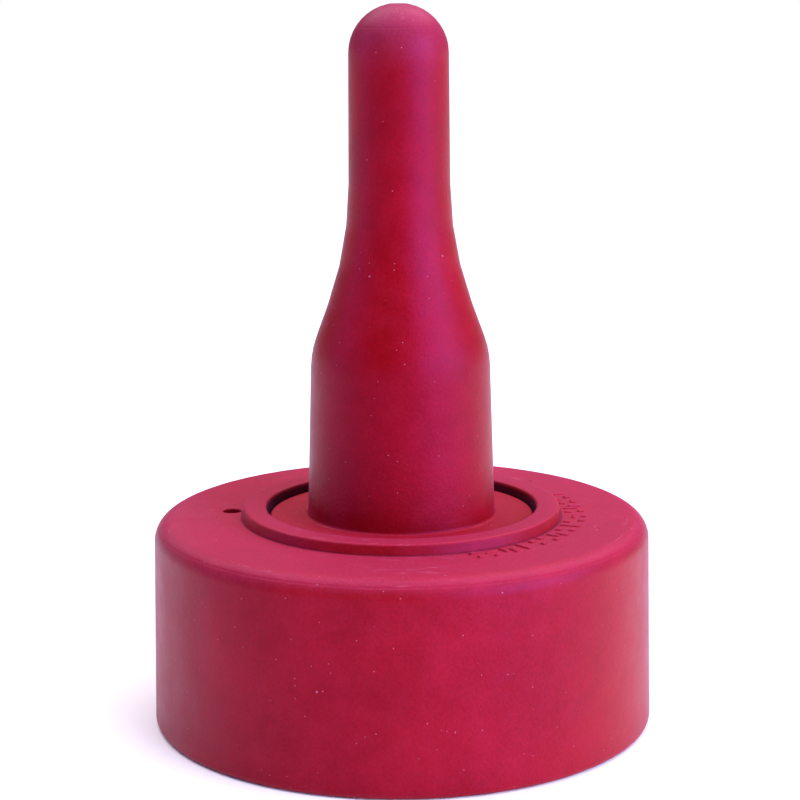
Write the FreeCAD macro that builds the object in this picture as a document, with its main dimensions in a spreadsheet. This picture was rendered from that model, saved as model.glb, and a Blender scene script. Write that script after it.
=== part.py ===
import FreeCAD, Part
import Sketcher
import math
import os

# Press-fit rubber feeding nipple for a drinks bottle: a snap cap and the teat that it holds.
#
# Frame: millimetres, +Z up along the common axis, origin at the centre of the cap's foot, on the
# surface that it stands on. Every piece is turned about Z, apart from the vent hole, which is near -X.
#
# The teat is one moulding. It is held as three solids that meet face to face, so that it can bend: the
# flange with the root disc, the short ring at the root that folds, and the barrel above it.

SHEET = "Sizes"

# Driving dimensions, in millimetres, and the vent's bearing in degrees. Each name is a cell's alias.
DIMENSIONS = {
    # snap cap, outside
    "cap_height": 15.9,
    "cap_top_radius": 19.0,
    "cap_foot_radius": 19.3,
    "rim_round": 1.5,
    "foot_round": 0.5,
    "collar_outer_radius": 12.3,
    "collar_inner_radius": 10.4,
    "collar_height": 0.85,
    "collar_round": 0.3,
    # snap cap, inside
    "top_wall": 2.9,
    "bore_radius": 14.0,
    "bore_round": 0.5,
    "lip_radius": 12.3,
    "lip_shoulder_height": 3.0,
    "lip_lead_height": 1.3,
    "lip_round": 0.4,
    "mouth_radius": 13.8,
    # vent hole in the cap's top wall
    "vent_radius": 0.7,
    "vent_distance": 13.25,
    "vent_bearing": 172.8,
    # teat: flange, root disc and the foot of the stem
    "flange_radius": 13.4,
    "flange_thickness": 1.8,
    "flange_round": 0.4,
    "disc_radius": 10.15,
    "disc_rise": 0.15,
    "disc_round": 0.2,
    "stub_height": 0.55,
    "stub_fillet": 0.45,
    "root_length": 3.0,
    # teat: heights above the root disc and radii of its outer skin
    "stem_radius": 7.2,
    "shoulder_height": 12.7,
    "shoulder_radius": 6.8,
    "shoulder_round": 7.0,
    "neck_height": 20.7,
    "neck_radius": 3.87,
    "neck_round": 27.0,
    "tip_height": 38.75,
    "tip_drop": 0.68,
    "tip_radius": 3.72,
    "tip_round": 3.68,
    # teat: the milk chamber inside it
    "wall": 1.68,
    "chamber_neck_lift": 0.6,
    "chamber_neck_round": 24.0,
    "chamber_shoulder_round": 5.0,
    "chamber_tip_round": 1.4,
    "tip_wall": 2.3,
    "feed_hole_radius": 0.5,
}


class Size:
    """A length together with the spreadsheet expression that gives it."""

    def __init__(self, number, text):
        self.number = number
        self.text = text

    def __add__(self, other):
        return Size(self.number + other.number, f"({self.text} + {other.text})")

    def __sub__(self, other):
        return Size(self.number - other.number, f"({self.text} - {other.text})")

    def __mul__(self, other):
        return Size(self.number * other.number, f"({self.text} * {other.text})")

    def __truediv__(self, other):
        return Size(self.number / other.number, f"({self.text} / {other.text})")


class Sizes:
    """The sheet's cells as Size values, one attribute for each alias."""

    def __init__(self):
        for alias, number in DIMENSIONS.items():
            setattr(self, alias, Size(number, f"{SHEET}.{alias}"))


def make_sheet(doc):
    sheet = doc.addObject("Spreadsheet::Sheet", SHEET)
    for row, (alias, number) in enumerate(DIMENSIONS.items(), start=1):
        sheet.set(f"A{row}", alias)
        sheet.set(f"B{row}", str(number))
        sheet.setAlias(f"B{row}", alias)
    doc.recompute()
    return sheet


def make_body(doc, label):
    body = doc.addObject("PartDesign::Body", label)
    body.Label = label
    body.Placement = FreeCAD.Placement()
    return body


def origin_feature(body, role):
    return next(f for f in body.Origin.OriginFeatures if f.Role == role)


def profile(body, name, corners):
    """A closed outline in the XZ plane. Each corner is (radius, height), both a Size, or 0 for a height."""
    sketch = body.newObject("Sketcher::SketchObject", name)
    sketch.AttachmentSupport = (origin_feature(body, "XZ_Plane"), [""])
    sketch.MapMode = "FlatFace"
    points = [
        FreeCAD.Vector(radius.number, height.number if height else 0, 0)
        for radius, height in corners
    ]
    last = len(points) - 1
    for i, point in enumerate(points):
        following = points[0 if i == last else i + 1]
        sketch.addGeometry(Part.LineSegment(point, following), False)
    for i in range(len(points)):
        sketch.addConstraint(Sketcher.Constraint("Coincident", i, 2, 0 if i == last else i + 1, 1))
    for i, (radius, height) in enumerate(corners):
        bind(sketch, Sketcher.Constraint("DistanceX", -1, 1, i, 1, radius.number), radius)
        if height:
            bind(sketch, Sketcher.Constraint("DistanceY", -1, 1, i, 1, height.number), height)
        else:
            sketch.addConstraint(Sketcher.Constraint("PointOnObject", i, 1, -1))
    return sketch


def bind(sketch, constraint, size):
    number = sketch.addConstraint(constraint)
    sketch.setExpression(f"Constraints[{number}]", size.text)


def turned(doc, body, name, corners):
    """A full revolution of an outline about Z."""
    revolution = body.newObject("PartDesign::Revolution", f"{name}_turned")
    revolution.Profile = profile(body, f"{name}_outline", corners)
    revolution.ReferenceAxis = (origin_feature(body, "Z_Axis"), [""])
    revolution.Angle = 360
    body.Tip = revolution
    doc.recompute()
    return revolution


def circle_edges(shape, radius, height):
    """Names of the level circular edges with this radius at this height."""
    names = []
    for number, edge in enumerate(shape.Edges, start=1):
        curve = edge.Curve
        if not isinstance(curve, Part.Circle):
            continue
        on_axis = math.hypot(curve.Center.x, curve.Center.y) < 1e-6
        if on_axis and abs(curve.Radius - radius) < 1e-4 and abs(curve.Center.z - height) < 1e-4:
            names.append(f"Edge{number}")
    return names


def fillet(doc, body, name, corner, size):
    """Round one corner of the outline, all the way round the piece."""
    radius, height = corner
    base = body.Tip
    edges = circle_edges(base.Shape, radius.number, height.number if height else 0)
    if not edges:
        raise RuntimeError(f"{name}: no edge at this corner")
    feature = body.newObject("PartDesign::Fillet", name)
    feature.Base = (base, edges)
    feature.Radius = size.number
    feature.setExpression("Radius", size.text)
    body.Tip = feature
    doc.recompute()
    return feature


def snap_cap(doc, s):
    body = make_body(doc, "snap_cap")
    collar_top = s.cap_height + s.collar_height
    ceiling = s.cap_height - s.top_wall
    foot = (s.cap_foot_radius, 0)
    rim = (s.cap_top_radius, s.cap_height)
    collar_foot = (s.collar_outer_radius, s.cap_height)
    collar_outer = (s.collar_outer_radius, collar_top)
    collar_inner = (s.collar_inner_radius, collar_top)
    opening = (s.collar_inner_radius, ceiling)
    bore_corner = (s.bore_radius, ceiling)
    lip_shoulder = (s.bore_radius, s.lip_shoulder_height)
    lip_top = (s.lip_radius, s.lip_shoulder_height)
    lip_lead = (s.lip_radius, s.lip_lead_height)
    mouth = (s.mouth_radius, 0)
    outline = [
        foot, rim, collar_foot, collar_outer, collar_inner, opening,
        bore_corner, lip_shoulder, lip_top, lip_lead, mouth,
    ]
    turned(doc, body, "cap", outline)
    fillet(doc, body, "rim_round", rim, s.rim_round)
    fillet(doc, body, "foot_round", foot, s.foot_round)
    fillet(doc, body, "collar_outer_round", collar_outer, s.collar_round)
    fillet(doc, body, "collar_inner_round", collar_inner, s.collar_round)
    fillet(doc, body, "bore_round", bore_corner, s.bore_round)
    fillet(doc, body, "lip_top_round", lip_top, s.lip_round)
    vent_hole(doc, body, s)
    return body


def vent_hole(doc, body, s):
    """The round vent, straight down through the top wall, just outside the collar."""
    bearing = math.radians(DIMENSIONS["vent_bearing"])
    turn = f"{SHEET}.vent_bearing * 1 deg"
    across = Size(-s.vent_distance.number * math.cos(bearing), f"(-{s.vent_distance.text} * cos({turn}))")
    along = Size(s.vent_distance.number * math.sin(bearing), f"({s.vent_distance.text} * sin({turn}))")
    sketch = body.newObject("Sketcher::SketchObject", "vent_outline")
    sketch.AttachmentSupport = (origin_feature(body, "XY_Plane"), [""])
    sketch.MapMode = "FlatFace"
    sketch.setExpression("AttachmentOffset.Base.z", s.cap_height.text)
    centre = FreeCAD.Vector(-across.number, along.number, 0)
    sketch.addGeometry(Part.Circle(centre, FreeCAD.Vector(0, 0, 1), s.vent_radius.number), False)
    bind(sketch, Sketcher.Constraint("DistanceX", 0, 3, -1, 1, across.number), across)
    bind(sketch, Sketcher.Constraint("DistanceY", -1, 1, 0, 3, along.number), along)
    bind(sketch, Sketcher.Constraint("Radius", 0, s.vent_radius.number), s.vent_radius)
    doc.recompute()
    before = body.Tip.Shape.Volume
    pocket = body.newObject("PartDesign::Pocket", "vent")
    pocket.Profile = sketch
    pocket.Length = s.top_wall.number
    pocket.setExpression("Length", s.top_wall.text)
    body.Tip = pocket
    doc.recompute()
    removed = before - pocket.Shape.Volume
    expected = math.pi * s.vent_radius.number**2 * s.top_wall.number
    if not 0.9 * expected < removed < 1.1 * expected:
        raise RuntimeError(f"the vent removed {removed:.3f} mm3, not {expected:.3f}")


def stem_radius_at(s, rise):
    """The stem's outer radius at a height above the root disc, below the shoulder."""
    return s.stem_radius - (s.stem_radius - s.shoulder_radius) * rise / s.shoulder_height


def floor_height(s):
    """The root disc's upper face, which closes the collar's opening."""
    return s.cap_height + s.disc_rise


def teat_flange(doc, s):
    body = make_body(doc, "teat_flange")
    ceiling = s.cap_height - s.top_wall
    under = ceiling - s.flange_thickness
    floor = floor_height(s)
    stub_top = floor + s.stub_height
    chamber = s.stem_radius - s.wall
    stub_radius = stem_radius_at(s, s.stub_height)
    flange_under = (s.flange_radius, under)
    flange_over = (s.flange_radius, ceiling)
    disc_edge = (s.disc_radius, floor)
    stub_foot = (stub_radius, floor)
    outline = [
        (chamber, under), flange_under, flange_over, (s.disc_radius, ceiling), disc_edge,
        stub_foot, (stub_radius, stub_top), (chamber, stub_top),
    ]
    turned(doc, body, "flange", outline)
    fillet(doc, body, "flange_under_round", flange_under, s.flange_round)
    fillet(doc, body, "flange_over_round", flange_over, s.flange_round)
    fillet(doc, body, "disc_edge_round", disc_edge, s.disc_round)
    fillet(doc, body, "stub_fillet", stub_foot, s.stub_fillet)
    return body


def teat_root(doc, s):
    """The short ring of the stem that folds when the teat bends."""
    body = make_body(doc, "teat_root")
    low_rise = s.stub_height
    high_rise = s.stub_height + s.root_length
    low = floor_height(s) + low_rise
    high = floor_height(s) + high_rise
    chamber = s.stem_radius - s.wall
    outline = [
        (chamber, low),
        (stem_radius_at(s, low_rise), low),
        (stem_radius_at(s, high_rise), high),
        (stem_radius_at(s, high_rise) - s.wall, high),
    ]
    turned(doc, body, "root", outline)
    return body


def teat_barrel(doc, s):
    body = make_body(doc, "teat_barrel")
    floor = floor_height(s)
    rise = s.stub_height + s.root_length
    base = floor + rise
    base_radius = stem_radius_at(s, rise)
    shoulder = (s.shoulder_radius, floor + s.shoulder_height)
    neck = (s.neck_radius, floor + s.neck_height)
    tip = (s.tip_radius, floor + s.tip_height - s.tip_drop)
    chamber_tip = floor + s.tip_height - s.tip_wall
    chamber_neck = (s.neck_radius - s.wall, floor + s.neck_height + s.chamber_neck_lift)
    chamber_shoulder = (s.shoulder_radius - s.wall, floor + s.shoulder_height)
    chamber_end = (s.tip_radius - s.wall, chamber_tip)
    outline = [
        (base_radius, base), shoulder, neck, tip,
        (s.feed_hole_radius, floor + s.tip_height), (s.feed_hole_radius, chamber_tip),
        chamber_end, chamber_neck, chamber_shoulder, (base_radius - s.wall, base),
    ]
    turned(doc, body, "barrel", outline)
    fillet(doc, body, "neck_round", neck, s.neck_round)
    fillet(doc, body, "shoulder_round", shoulder, s.shoulder_round)
    fillet(doc, body, "tip_round", tip, s.tip_round)
    fillet(doc, body, "chamber_neck_round", chamber_neck, s.chamber_neck_round)
    fillet(doc, body, "chamber_shoulder_round", chamber_shoulder, s.chamber_shoulder_round)
    fillet(doc, body, "chamber_tip_round", chamber_end, s.chamber_tip_round)
    return body


def check_document(doc):
    for obj in doc.Objects:
        if "Invalid" in obj.State or "Error" in obj.State:
            raise RuntimeError(f"{obj.Name} failed: {obj.State}")


def export(bodies):
    for body in bodies:
        shape = body.Shape
        if shape.isNull() or not shape.isValid() or len(shape.Solids) != 1:
            raise RuntimeError(f"{body.Label} isn't one valid solid")
    os.makedirs("parts", exist_ok=True)
    for body in bodies:
        body.Shape.exportStep(f"parts/{body.Label}.step")
        box = body.Shape.BoundBox
        print(f"{body.Label}: {body.Shape.Volume:.1f} mm3, z {box.ZMin:.2f} to {box.ZMax:.2f}")


def main():
    doc = FreeCAD.newDocument("feeding_nipple")
    make_sheet(doc)
    sizes = Sizes()
    bodies = [build(doc, sizes) for build in (snap_cap, teat_flange, teat_root, teat_barrel)]
    doc.recompute()
    check_document(doc)
    export(bodies)


main()
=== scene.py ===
import math

import bmesh
import bpy
from mathutils import Matrix, Vector

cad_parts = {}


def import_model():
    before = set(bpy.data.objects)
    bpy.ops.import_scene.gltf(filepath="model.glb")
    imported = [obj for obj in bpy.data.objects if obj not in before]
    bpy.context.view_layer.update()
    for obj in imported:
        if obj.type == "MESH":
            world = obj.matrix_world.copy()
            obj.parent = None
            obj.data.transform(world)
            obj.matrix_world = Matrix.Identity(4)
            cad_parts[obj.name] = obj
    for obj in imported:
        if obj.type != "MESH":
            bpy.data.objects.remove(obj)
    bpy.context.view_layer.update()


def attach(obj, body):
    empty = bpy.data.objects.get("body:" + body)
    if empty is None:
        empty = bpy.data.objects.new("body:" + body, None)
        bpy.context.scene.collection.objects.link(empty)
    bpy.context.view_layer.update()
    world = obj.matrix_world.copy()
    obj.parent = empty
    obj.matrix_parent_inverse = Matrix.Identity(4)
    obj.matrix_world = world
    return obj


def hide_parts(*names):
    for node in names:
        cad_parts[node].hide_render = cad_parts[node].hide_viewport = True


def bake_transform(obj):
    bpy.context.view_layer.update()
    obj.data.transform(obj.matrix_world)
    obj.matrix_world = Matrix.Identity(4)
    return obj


# A press-fit rubber feeding nipple: a snap cap and the teat that it holds.
# Lengths are in millimetres where a profile is written down, and in metres in Blender.
# An outline point is (radius, height, rounding of the corner there).

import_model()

MM = 0.001
TURN = 2 * math.pi

CAP_HEIGHT = 15.9
CEILING = 13.0
RIM_ROUND = 1.5
COLLAR_OUTER = 12.3
COLLAR_DRAFT = 0.14
COLLAR_TOP = 16.75
FLOOR = 16.05
TIP = 54.8
TIP_DROP = 0.68
VENT_RADIUS = 0.7
VENT_DISTANCE = 13.25
VENT_BEARING = math.radians(172.8)


# ---------------------------------------------------------------- outlines


def corner(before, point, after, radius, most_turn=math.radians(9)):
    """Points along the arc that rounds a corner of an outline."""
    p = Vector(point)
    a = (Vector(before) - p).normalized()
    b = (Vector(after) - p).normalized()
    half = a.angle(b) / 2
    start = p + a * (radius / math.tan(half))
    end = p + b * (radius / math.tan(half))
    centre = p + (a + b).normalized() * (radius / math.sin(half))
    u, v = start - centre, end - centre
    sweep = u.angle(v)
    steps = max(2, math.ceil(sweep / most_turn))
    made = []
    for i in range(steps + 1):
        t = i / steps
        made.append(centre + (u * math.sin((1 - t) * sweep) + v * math.sin(t * sweep)) / math.sin(sweep))
    return made


def rounded(outline):
    """The closed outline with each corner's rounding worked in."""
    made = []
    for i, (r, z, rounding) in enumerate(outline):
        if rounding:
            before, after = outline[i - 1][:2], outline[(i + 1) % len(outline)][:2]
            made += corner(before, (r, z), after, rounding)
        else:
            made.append(Vector((r, z)))
    return made


def spaced(points, most):
    """The points with long runs divided, so that no face is much longer than it is wide."""
    made = []
    for a, b in zip(points, points[1:] + points[:1]):
        steps = max(1, math.ceil((b - a).length / most))
        made += [a.lerp(b, i / steps) for i in range(steps)]
    return made


def with_line(points, near, shape):
    """The outline with a mould line worked in about the nearest point of it. shape is a list of
    (distance along, height out)."""
    near = Vector(near)
    pairs = list(zip(points, points[1:] + points[:1]))
    a, b = min(pairs, key=lambda pair: (pair[0].lerp(pair[1], 0.5) - near).length)
    along = (b - a).normalized()
    out = Vector((along[1], -along[0]))
    middle = a.lerp(b, 0.5)
    reach = max(-shape[0][0], shape[-1][0]) + 0.02
    kept = [p for p in points if (p - middle).length > reach]
    spot = next(i for i, p in enumerate(kept) if (p - middle).dot(along) > 0 and (p - middle).length < 1.5)
    kept[spot:spot] = [middle + along * step + out * height for step, height in shape]
    return kept


# ---------------------------------------------------------------- turned meshes


def stitch(bm, low, high):
    """Faces between two closed rows of (bearing, vertex), which may have different counts."""
    if [a for a, _ in low] == [a for a, _ in high]:
        n = len(low)
        for i in range(n):
            j = (i + 1) % n
            bm.faces.new((low[i][1], low[j][1], high[j][1], high[i][1]))
        return
    few, many, swap = (low, high, False) if len(low) < len(high) else (high, low, True)
    at = {round(a, 7): i for i, (a, _) in enumerate(many)}
    n = len(few)
    for i in range(n):
        a, b = few[i], few[(i + 1) % n]
        start = at[round(a[0], 7)]
        stop = at[round(b[0], 7)] or len(many)
        run = [many[k % len(many)][1] for k in range(start, stop + 1)]
        loop = [a[1], b[1]] + run[::-1]
        bm.faces.new(loop[::-1] if swap else loop)


def turned(name, rows, columns_of, relief=None):
    """A closed skin turned about Z. rows are (radius, height) in mm, anticlockwise seen with Z up and the
    radius to the right; columns_of gives a row's bearings."""
    bm = bmesh.new()
    made = []
    for row in rows:
        ring = []
        for a in columns_of(row):
            lift = relief(row, a) if relief else 0.0
            place = Vector((row[0] * math.cos(a), row[0] * math.sin(a), row[1] + lift)) * MM
            ring.append((a, bm.verts.new(place)))
        made.append(ring)
    for low, high in zip(made, made[1:] + made[:1]):
        stitch(bm, low, high)
    for face in bm.faces:
        face.smooth = True
    bmesh.ops.recalc_face_normals(bm, faces=bm.faces)
    mesh = bpy.data.meshes.new(name)
    bm.to_mesh(mesh)
    bm.free()
    obj = bpy.data.objects.new(name, mesh)
    bpy.context.scene.collection.objects.link(obj)
    return obj


def even(count):
    return [TURN * i / count for i in range(count)]


def smooth(t):
    t = min(1.0, max(0.0, t))
    return t * t * (3 - 2 * t)


def apply_modifier(obj, modifier):
    with bpy.context.temp_override(object=obj, active_object=obj, selected_objects=[obj]):
        bpy.ops.object.modifier_apply(modifier=modifier.name)


def finish_mesh(obj):
    """Weighs the normals by face, and stores where each point is at rest, so that a material's pattern
    bends with the rubber."""
    weigh = obj.modifiers.new("weigh", "WEIGHTED_NORMAL")
    weigh.weight = 100
    apply_modifier(obj, weigh)
    places = [c for v in obj.data.vertices for c in v.co]
    stored = obj.data.attributes.new("rest_place", "FLOAT_VECTOR", "POINT")
    stored.data.foreach_set("vector", places)


# ---------------------------------------------------------------- cap


CAP_OUTLINE = [
    (19.3, 0.0, 0.5),
    (19.0, CAP_HEIGHT, RIM_ROUND),
    (COLLAR_OUTER, CAP_HEIGHT, 0.04),
    (COLLAR_OUTER - COLLAR_DRAFT, COLLAR_TOP, 0.26),
    (10.4, COLLAR_TOP, 0.2),
    (10.4, CEILING, 0.15),
    (14.0, CEILING, 0.5),
    (14.0, 3.0, 0.2),
    (12.3, 3.0, 0.4),
    (12.3, 1.3, 0.5),
    (13.8, 0.0, 0.2),
]

# Where the two halves of the mould met on the rim's rounding: a hair-fine groove.
RIM_LINE_SLOPE = math.radians(39)
RIM_LINE = (
    19.0 - RIM_ROUND * (1 - math.cos(RIM_LINE_SLOPE)),
    CAP_HEIGHT - RIM_ROUND * (1 - math.sin(RIM_LINE_SLOPE)),
)
RIM_LINE_SHAPE = ((-0.15, 0.0), (-0.09, 0.004), (0.0, -0.013), (0.09, 0.004), (0.15, 0.0))

# Raised index marks on the cap's top, outside the collar. A mark is a few blocks, each given as
# (bearing in cells, half width in degrees, inner radius, outer radius).
MARKS_START = math.radians(-68)
CELL = math.radians(6.1)
MARK_KINDS = {
    "bar": ((0.0, 0.5, 12.56, 14.20),),
    "pips": ((0.0, 0.8, 12.62, 13.22), (0.15, 0.7, 13.62, 14.20)),
    "fork": ((-0.22, 0.5, 12.62, 13.80), (0.22, 0.5, 13.10, 14.20)),
    "dash": ((0.0, 1.9, 13.10, 13.46), (0.0, 0.6, 13.80, 14.30)),
    "step": ((-0.2, 0.6, 12.56, 13.20), (0.2, 0.8, 13.66, 14.24)),
}
MARK_ROW = (
    "pips", "dash", "fork", "bar", "pips", "step", "fork", "pips", "bar",
    "step", "dash", "pips", "fork", "pips", "step", "bar",
)
MARK_SLOPE = math.radians(0.5)
MARK_HEIGHT = 0.13
MARK_FOOT = 0.13
NIB_BEARING = math.radians(43)
NIB_DISTANCE = 15.0
NIB_RADIUS = 0.28
NIB_HEIGHT = 0.14
SLOPE_STEPS = (0.0, 0.25, 0.5, 0.75, 1.0)
MARKS_ZONE = (12.40, 15.45)

CAP_COLUMNS = 240
CAP_ROW_SPACING = 0.9
VENT_COLUMNS = 40
VENT_FLARE = 0.16


def mark_blocks():
    """Each raised block as (bearing, half width, inner radius, outer radius)."""
    blocks = []
    for i, kind in enumerate(MARK_ROW):
        for shift, half_width, low, high in MARK_KINDS[kind]:
            blocks.append((MARKS_START + CELL * (i + shift), math.radians(half_width), low, high))
    return blocks


BLOCKS = mark_blocks()


def mark_relief(radius, bearing):
    """Height of the raised marks and the nib over the cap's top, in mm."""
    height = 0.0
    for centre, half_width, low, high in BLOCKS:
        off = abs((bearing - centre + math.pi) % TURN - math.pi)
        across = smooth((half_width + MARK_SLOPE - off) / MARK_SLOPE)
        along = smooth((radius - low) / MARK_FOOT) * smooth((high - radius) / MARK_FOOT)
        height = max(height, MARK_HEIGHT * across * along)
    away = math.hypot(
        radius * math.cos(bearing) - NIB_DISTANCE * math.cos(NIB_BEARING),
        radius * math.sin(bearing) - NIB_DISTANCE * math.sin(NIB_BEARING),
    )
    return max(height, NIB_HEIGHT * smooth(1 - away / NIB_RADIUS))


def in_marks_zone(row):
    return abs(row[1] - CAP_HEIGHT) < 1e-6 and MARKS_ZONE[0] < row[0] < MARKS_ZONE[1]


def mark_radii():
    """The radii at which the top needs a row of points for the marks and the nib."""
    radii = {MARKS_ZONE[0], MARKS_ZONE[1]}
    for low, high in {block[2:] for block in BLOCKS}:
        for step in SLOPE_STEPS:
            radii.add(round(low + MARK_FOOT * step, 4))
            radii.add(round(high - MARK_FOOT * step, 4))
    for i in range(-5, 6):
        radii.add(round(NIB_DISTANCE + 0.06 * i, 4))
    return sorted(radii, reverse=True)


def mark_bearings(coarse):
    """The coarse bearings with those that the marks and the nib need."""
    bearings = set(coarse)
    for centre, half_width, _, _ in BLOCKS:
        for step in SLOPE_STEPS:
            for side in (-1, 1):
                bearings.add(round((centre + side * (half_width + MARK_SLOPE * step)) % TURN, 7))
    for i in range(-10, 11):
        bearings.add(round(NIB_BEARING + math.radians(0.13) * i, 7))
    return sorted(bearings)


def cap_skin():
    coarse = [round(a, 7) for a in even(CAP_COLUMNS)]
    fine = mark_bearings(coarse)
    points = with_line(spaced(rounded(CAP_OUTLINE), CAP_ROW_SPACING), RIM_LINE, RIM_LINE_SHAPE)
    rows = [(p[0], p[1]) for p in points if not in_marks_zone(p)]
    inner = next(i for i, r in enumerate(rows) if abs(r[1] - CAP_HEIGHT) < 1e-6 and r[0] < MARKS_ZONE[0] + 0.01)
    rows[inner:inner] = [(r, CAP_HEIGHT) for r in mark_radii()]
    return turned(
        "cap_skin",
        rows,
        lambda row: fine if in_marks_zone(row) else coarse,
        lambda row, bearing: mark_relief(row[0], bearing) if in_marks_zone(row) else 0.0,
    )


def vent_cutter():
    """What the vent hole takes out of the cap: a pin with a flared mouth, so that the edge is soft."""
    rows = [(VENT_RADIUS, CEILING - 2.0), (VENT_RADIUS, CAP_HEIGHT - VENT_FLARE)]
    for i in range(1, 6):
        a = math.radians(15 * i)
        rows.append((VENT_RADIUS + VENT_FLARE * (1 - math.cos(a)), CAP_HEIGHT - VENT_FLARE * (1 - math.sin(a))))
    last = rows[-1]
    rows.append((last[0] + 0.2, last[1] + 0.06))
    bm = bmesh.new()
    rings = []
    for r, z in rows:
        places = [Vector((r * math.cos(a), r * math.sin(a), z)) * MM for a in even(VENT_COLUMNS)]
        rings.append([bm.verts.new(place) for place in places])
    for low, high in zip(rings, rings[1:]):
        for i in range(VENT_COLUMNS):
            j = (i + 1) % VENT_COLUMNS
            bm.faces.new((low[i], low[j], high[j], high[i]))
    bm.faces.new(rings[0][::-1])
    bm.faces.new(rings[-1])
    bmesh.ops.recalc_face_normals(bm, faces=bm.faces)
    mesh = bpy.data.meshes.new("vent_cutter")
    bm.to_mesh(mesh)
    bm.free()
    obj = bpy.data.objects.new("vent_cutter", mesh)
    bpy.context.scene.collection.objects.link(obj)
    obj.location = Vector((math.cos(VENT_BEARING), math.sin(VENT_BEARING), 0)) * VENT_DISTANCE * MM
    return obj


def make_cap():
    cap = cap_skin()
    cutter = vent_cutter()
    cut = cap.modifiers.new("vent", "BOOLEAN")
    cut.operation = "DIFFERENCE"
    cut.solver = "EXACT"
    cut.object = cutter
    apply_modifier(cap, cut)
    bpy.data.objects.remove(cutter)
    for face in cap.data.polygons:
        face.use_smooth = True
    finish_mesh(cap)
    return cap


# ---------------------------------------------------------------- teat


TEAT_OUTLINE = [
    (5.52, 11.2, 0.3),
    (13.4, 11.2, 0.4),
    (13.4, CEILING, 0.4),
    (10.15, CEILING, 0.0),
    (10.15, FLOOR, 0.2),
    (7.2, FLOOR, 0.3),
    (6.8, 28.75, 7.0),
    (3.87, 36.75, 27.0),
    (3.72, TIP - TIP_DROP, 3.68),
    (0.5, TIP, 0.12),
    (0.5, 52.5, 0.1),
    (2.04, 52.5, 1.4),
    (2.19, 37.35, 24.0),
    (5.12, 28.75, 5.0),
]
# Where the mould's tip met its sleeve: a faint line round the dome.
TIP_LINE = (3.25, 52.93)
TIP_LINE_SHAPE = ((-0.16, 0.0), (-0.07, 0.005), (0.0, 0.008), (0.06, -0.002), (0.14, 0.0))

TEAT_COLUMNS = 160
TEAT_ROW_SPACING = 0.7


def make_teat():
    points = with_line(spaced(rounded(TEAT_OUTLINE), TEAT_ROW_SPACING), TIP_LINE, TIP_LINE_SHAPE)
    rows = [(p[0], p[1]) for p in points]
    teat = turned("teat_skin", rows, lambda row: even(TEAT_COLUMNS))
    finish_mesh(teat)
    return teat


# ---------------------------------------------------------------- rubber


class Nodes:
    """Short ways to add the nodes of one material."""

    def __init__(self, name):
        self.material = bpy.data.materials.new(name)
        self.material.use_nodes = True
        self.tree = self.material.node_tree
        self.tree.nodes.clear()

    def add(self, kind, settings=None, **inputs):
        node = self.tree.nodes.new(kind)
        for key, value in (settings or {}).items():
            setattr(node, key, value)
        for key, value in inputs.items():
            self.put(node.inputs[key.replace("_", " ")], value)
        return node

    def put(self, socket, value):
        if isinstance(value, bpy.types.NodeSocket):
            self.tree.links.new(value, socket)
        else:
            socket.default_value = value

    def maths(self, operation, *values, clamp=False):
        node = self.add("ShaderNodeMath", {"operation": operation, "use_clamp": clamp})
        for socket, value in zip(node.inputs, values):
            self.put(socket, value)
        return node.outputs[0]

    def ramp(self, value, low, high, bottom=0.0, top=1.0):
        node = self.add("ShaderNodeMapRange", {"interpolation_type": "SMOOTHSTEP"})
        settings = {"Value": value, "From Min": low, "From Max": high, "To Min": bottom, "To Max": top}
        for key, setting in settings.items():
            self.put(node.inputs[key], setting)
        return node.outputs["Result"]

    def noise(self, place, scale, detail=2.0, roughness=0.5):
        node = self.add("ShaderNodeTexNoise", Vector=place, Scale=scale, Detail=detail, Roughness=roughness)
        return node.outputs["Fac"]

    def stretched(self, place, scale, rotation=(0, 0, 0)):
        node = self.add("ShaderNodeMapping", Vector=place, Scale=scale, Rotation=rotation)
        return node.outputs["Vector"]

    def mix(self, amount, first, second):
        node = self.add("ShaderNodeMix", {"data_type": "RGBA"})
        self.put(node.inputs["Factor"], amount)
        self.put(node.inputs[6], first)
        self.put(node.inputs[7], second)
        return node.outputs[2]

    def length(self, vector):
        return self.add("ShaderNodeVectorMath", {"operation": "LENGTH"}, Vector=vector).outputs["Value"]

    def scaled(self, colour, amount):
        node = self.add("ShaderNodeVectorMath", {"operation": "SCALE"}, Scale=amount)
        self.put(node.inputs[0], colour)
        return node.outputs["Vector"]

    def band(self, value, middle, half, soft):
        """1 within half of the middle, falling to 0 over the soft edge."""
        away = self.maths("ABSOLUTE", self.maths("SUBTRACT", value, middle))
        return self.ramp(away, half + soft, half)

    def specks(self, place, cell, radius, share):
        """1 inside small round specks, in a share of the cells of a scattered grid."""
        node = self.add("ShaderNodeTexVoronoi", Vector=place, Scale=1 / (cell * MM), Randomness=1.0)
        dot = self.ramp(node.outputs["Distance"], radius / cell, radius / cell * 0.55)
        draw = self.add("ShaderNodeSeparateColor", Color=node.outputs["Color"]).outputs[0]
        return self.maths("MULTIPLY", dot, self.maths("LESS_THAN", draw, share))


# Colours that lie over the rubber's own: real bloom, dust and handling marks, and painted light and shade.
BLOOM_AND_TOP_LIGHT_COLOUR = (0.47, 0.024, 0.068, 1)
DISC_BOUNCE_RED = (0.36, 0.003, 0.003, 1)
TIP_RIM_PAINTED_SHEEN = (0.27, 0.058, 0.17, 1)
CHALK = (0.42, 0.18, 0.30, 1)
DUST = (0.78, 0.27, 0.42, 1)
PAINTED_SHADE = (0.050, 0.008, 0.016, 1)

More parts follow.
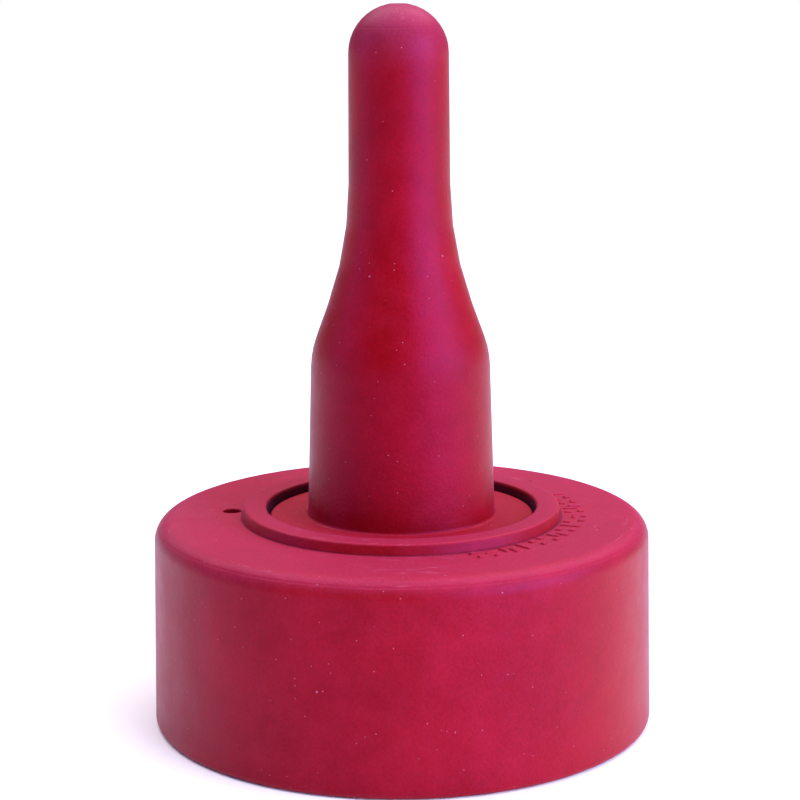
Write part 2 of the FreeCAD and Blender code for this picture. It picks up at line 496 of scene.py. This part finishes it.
# Parts of the surface, by distance from the axis or by height: (middle, half width, soft edge), in metres.
DISC_BAND = (0.00880, 0.00150, 0.00012)
RIM_BAND = (0.0186, 0.0003, 0.0004)
GAP_BAND, GAP_DEPTH = (0.01032, 0.00010, 0.00008), (0.01560, 0.00080, 0.00020)
COLLAR_FOOT_BAND, COLLAR_FOOT_DEPTH = (0.01234, 0.00003, 0.00007), (0.01590, 0.00004, 0.00010)


def rubber_colour(n, place, parts, radius, facing, looks):
    """The rubber itself, with the pale bloom that gathers on it, painted light on its upward faces, tip and rim, and
    the marks of handling.
    """
    deep, bright, bloom_share, painted_top_light_share = looks
    x, _, z = parts
    patches = n.noise(place, 700, 3)
    colour = n.mix(n.ramp(n.noise(place, 160, 3), 0.35, 0.68), deep, bright)
    bloom_and_top_light = n.maths("MULTIPLY", n.ramp(patches, 0.3, 0.75), bloom_share)
    # Upward faces are drawn paler and pinker towards this colour: a painted top light, added to the real bloom
    # patches.
    bloom_and_top_light = n.maths("ADD", bloom_and_top_light, n.ramp(facing, 0.35, 0.95, 0.0, painted_top_light_share), clamp=True)
    colour = n.mix(bloom_and_top_light, colour, BLOOM_AND_TOP_LIGHT_COLOUR)

    # The root disc inside the collar is a brighter, purer red in place of the bloom and painted top light: a painted
    # red bounce light in the recess.
    disc_bounce_light = n.maths("MULTIPLY", n.band(radius, *DISC_BAND), n.ramp(facing, 0.5, 0.9, 0.0, 0.6))
    colour = n.mix(disc_bounce_light, colour, DISC_BOUNCE_RED)

    # Paler, cooler colour on the teat's tip and the cap's rim: a painted violet highlight for the light these curves
    # catch.
    tip = n.ramp(z, 0.0495, 0.0535, 0.0, 0.20)
    rim = n.maths("MULTIPLY", n.band(radius, *RIM_BAND), n.ramp(z, 0.0146, 0.0153, 0.0, 0.06))
    colour = n.mix(n.maths("MAXIMUM", tip, rim), colour, TIP_RIM_PAINTED_SHEEN)

    # A faint chalky patch on one flank of the cap, where it has been handled.
    flank = n.ramp(n.maths("MULTIPLY", x, -1.0), 0.0130, 0.0190)
    handled = n.maths("MULTIPLY", flank, n.ramp(n.noise(place, 300, 3, 0.5), 0.20, 0.80))
    return n.mix(n.maths("MULTIPLY", handled, 0.11), colour, CHALK), patches


def dust_amount(n, place, parts, radius, facing):
    """Specks, short scratches, scuffs that run round the cap's top, and dust that has settled on it."""
    x, y, z = parts
    fine = n.specks(place, 0.62, 0.055, 0.30)
    coarse = n.specks(n.stretched(place, (1, 1, 1), (0.4, 0.9, 0.2)), 1.5, 0.10, 0.14)
    settled = n.maths("MULTIPLY", n.specks(place, 0.40, 0.050, 0.34), n.ramp(facing, 0.5, 0.9, 0.0, 0.8))
    amount = n.maths("MAXIMUM", n.maths("MAXIMUM", fine, coarse), settled)
    for tilt in ((0.3, 0.2, 0.5), (1.3, 0.4, 2.2), (0.1, 1.2, 1.2)):
        scratches = n.specks(n.stretched(place, (1, 0.12, 1), tilt), 0.9, 0.05, 0.06)
        amount = n.maths("MAXIMUM", amount, n.maths("MULTIPLY", scratches, 0.8))
    turn = n.maths("ARCTAN2", x, n.maths("MULTIPLY", y, -1.0))
    round_place = n.add("ShaderNodeCombineXYZ", X=n.maths("MULTIPLY", turn, 0.014), Y=radius, Z=z).outputs["Vector"]
    scuffs = n.ramp(n.noise(n.stretched(round_place, (0.16, 1, 1)), 3000, 3, 0.6), 0.58, 0.74)
    scuffs = n.maths("MULTIPLY", scuffs, n.ramp(n.noise(place, 110, 2), 0.50, 0.64))
    scuffs = n.maths("MULTIPLY", scuffs, n.ramp(facing, 0.5, 0.9, 0.0, 0.6))
    return n.maths("MAXIMUM", amount, scuffs)


def painted_shade_amount(n, radius, z):
    """Painted shade in the gap round the root disc and in the corner at the collar's foot, where little light
    reaches.
    """
    gap = n.maths("MULTIPLY", n.band(radius, *GAP_BAND), n.band(z, *GAP_DEPTH))
    foot = n.maths("MULTIPLY", n.band(radius, *COLLAR_FOOT_BAND), n.band(z, *COLLAR_FOOT_DEPTH))
    return n.maths("MAXIMUM", n.maths("MULTIPLY", gap, 0.85), n.maths("MULTIPLY", foot, 0.5))


def rubber(name, *looks):
    """Matt moulded rubber. looks are its deep and bright colours, its share of bloom, and its share of painted top
    light on upward faces.
    """
    n = Nodes(name)
    place = n.add("ShaderNodeAttribute", {"attribute_name": "rest_place"}).outputs["Vector"]
    split = n.add("ShaderNodeSeparateXYZ", Vector=place)
    parts = [split.outputs[axis] for axis in "XYZ"]
    radius = n.length(n.stretched(place, (1, 1, 0)))
    normal = n.add("ShaderNodeNewGeometry").outputs["Normal"]
    facing = n.add("ShaderNodeSeparateXYZ", Vector=normal).outputs["Z"]

    colour, patches = rubber_colour(n, place, parts, radius, facing, looks)
    dust = dust_amount(n, place, parts, radius, facing)
    painted_shade = painted_shade_amount(n, radius, parts[2])
    colour = n.mix(n.maths("MULTIPLY", dust, 0.34), colour, DUST)
    # Painted shade: the gap round the root disc and the collar's foot are darkened.
    colour = n.mix(painted_shade, colour, PAINTED_SHADE)

    # Fine grain, in the tone and in the surface, with the mould's turning marks.
    grain = n.noise(place, 4600, 3, 0.65)
    colour = n.scaled(colour, n.ramp(grain, 0.25, 0.75, 0.90, 1.11))
    lines = n.noise(n.stretched(place, (0.03, 0.03, 1)), 1500, 2)
    swell = n.noise(place, 260, 2)
    height = n.maths("MULTIPLY", grain, 0.018)
    for pattern, amount in ((lines, 0.012), (swell, 0.07), (dust, 0.02)):
        height = n.maths("MULTIPLY_ADD", pattern, amount, height)
    bump = n.add("ShaderNodeBump", Height=height, Distance=MM, Strength=1.0).outputs["Normal"]

    roughness = n.ramp(patches, 0.25, 0.8, 0.40, 0.46)
    roughness = n.maths("MULTIPLY_ADD", dust, 0.2, roughness, clamp=True)
    roughness = n.maths("MULTIPLY_ADD", painted_shade, 0.3, roughness, clamp=True)
    roughness = n.maths("ADD", roughness, n.ramp(facing, 0.8, 1.0, 0.0, 0.16), clamp=True)

    shader = n.add("ShaderNodeBsdfPrincipled", Roughness=roughness, Normal=bump)
    n.put(shader.inputs["Base Color"], colour)
    shader.inputs["IOR"].default_value = 1.5
    shader.inputs["Specular IOR Level"].default_value = 0.24
    shader.inputs["Specular Tint"].default_value = (0.42, 0.17, 0.78, 1)
    shader.inputs["Sheen Weight"].default_value = 0.09
    shader.inputs["Sheen Roughness"].default_value = 0.3
    shader.inputs["Sheen Tint"].default_value = (0.50, 0.20, 0.80, 1)
    out = n.add("ShaderNodeOutputMaterial")
    n.tree.links.new(shader.outputs[0], out.inputs["Surface"])
    return n.material


# ---------------------------------------------------------------- the object


cap = make_cap()
cap.data.materials.append(rubber("cap_rubber", (0.226, 0.0032, 0.0050, 1), (0.266, 0.0042, 0.0080, 1), 0.07, 0.46))
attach(cap, "cap")
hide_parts("snap_cap")

teat = make_teat()
teat.data.materials.append(rubber("teat_rubber", (0.200, 0.0010, 0.0022, 1), (0.240, 0.0014, 0.0040, 1), 0.05, 0.44))
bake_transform(teat)
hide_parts("teat_flange", "teat_root", "teat_barrel")


# ---------------------------------------------------------------- stage, light and camera


def floor():
    mesh = bpy.data.meshes.new("floor")
    reach = 1.2
    corners = [(-reach, -reach, 0), (reach, -reach, 0), (reach, reach, 0), (-reach, reach, 0)]
    mesh.from_pydata(corners, [], [(0, 1, 2, 3)])
    obj = bpy.data.objects.new("floor", mesh)
    bpy.context.scene.collection.objects.link(obj)
    n = Nodes("pale_floor")
    shader = n.add("ShaderNodeBsdfPrincipled", Roughness=0.9)
    shader.inputs["Base Color"].default_value = (0.97, 0.95, 0.96, 1)
    out = n.add("ShaderNodeOutputMaterial")
    n.tree.links.new(shader.outputs[0], out.inputs["Surface"])
    mesh.materials.append(n.material)


def soft_light(name, place, size, power, colour, aim=(0, 0, 0.025)):
    data = bpy.data.lights.new(name, "AREA")
    data.shape = "RECTANGLE"
    data.size, data.size_y = size
    data.energy = power
    data.color = colour
    obj = bpy.data.objects.new(name, data)
    bpy.context.scene.collection.objects.link(obj)
    obj.location = place
    obj.rotation_euler = (Vector(aim) - Vector(place)).to_track_quat("-Z", "Y").to_euler()


def world(colour, strength, seen):
    """A soft room: how strongly it lights things, and the colour that is seen past the floor's edge."""
    made = bpy.data.worlds.new("soft_room")
    made.use_nodes = True
    tree = made.node_tree
    room = tree.nodes["Background"]
    room.inputs["Color"].default_value = colour
    room.inputs["Strength"].default_value = strength
    paper = tree.nodes.new("ShaderNodeBackground")
    paper.inputs["Color"].default_value = seen
    path = tree.nodes.new("ShaderNodeLightPath")
    both = tree.nodes.new("ShaderNodeMixShader")
    tree.links.new(path.outputs["Is Camera Ray"], both.inputs[0])
    tree.links.new(room.outputs[0], both.inputs[1])
    tree.links.new(paper.outputs[0], both.inputs[2])
    tree.links.new(both.outputs[0], tree.nodes["World Output"].inputs["Surface"])
    bpy.context.scene.world = made


def camera():
    place = Vector((-0.00394, -0.16721, 0.05900))
    bearing, fall, roll = math.radians(1.33), math.radians(11.53), math.radians(-0.373)
    ahead = Vector((math.sin(bearing) * math.cos(fall), math.cos(bearing) * math.cos(fall), -math.sin(fall)))
    right = Vector((math.cos(bearing), -math.sin(bearing), 0))
    up = right.cross(ahead)
    right, up = right * math.cos(roll) + up * math.sin(roll), up * math.cos(roll) - right * math.sin(roll)
    data = bpy.data.cameras.new("camera")
    data.sensor_width = 36.0
    data.lens = 100.37
    data.clip_start = 0.01
    data.clip_end = 50.0
    obj = bpy.data.objects.new("camera", data)
    bpy.context.scene.collection.objects.link(obj)
    turn = Matrix((right, up, -ahead)).transposed().to_4x4()
    obj.matrix_world = Matrix.Translation(place) @ turn
    bpy.context.scene.camera = obj


floor()
soft_light("overhead", (0.0, 0.55, 2.7), (4.5, 4.7), 172.0, (1.0, 0.96, 1.0))
soft_light("right", (0.44, -0.32, 0.17), (0.58, 0.42), 4.9, (0.97, 1.10, 1.62))
soft_light("right_edge", (0.55, -0.02, 0.15), (0.4, 0.4), 0.5, (0.35, 0.50, 1.4))
soft_light("left_edge", (-0.62, -0.04, 0.22), (0.5, 0.45), 0.9, (0.50, 0.46, 1.4))
world((0.90, 0.84, 1.0, 1), 0.14, (1.0, 1.0, 1.0, 1))
camera()
view = bpy.context.scene.view_settings
view.view_transform = "Standard"
view.look = "None"
view.exposure = 0.0
view.gamma = 1.0
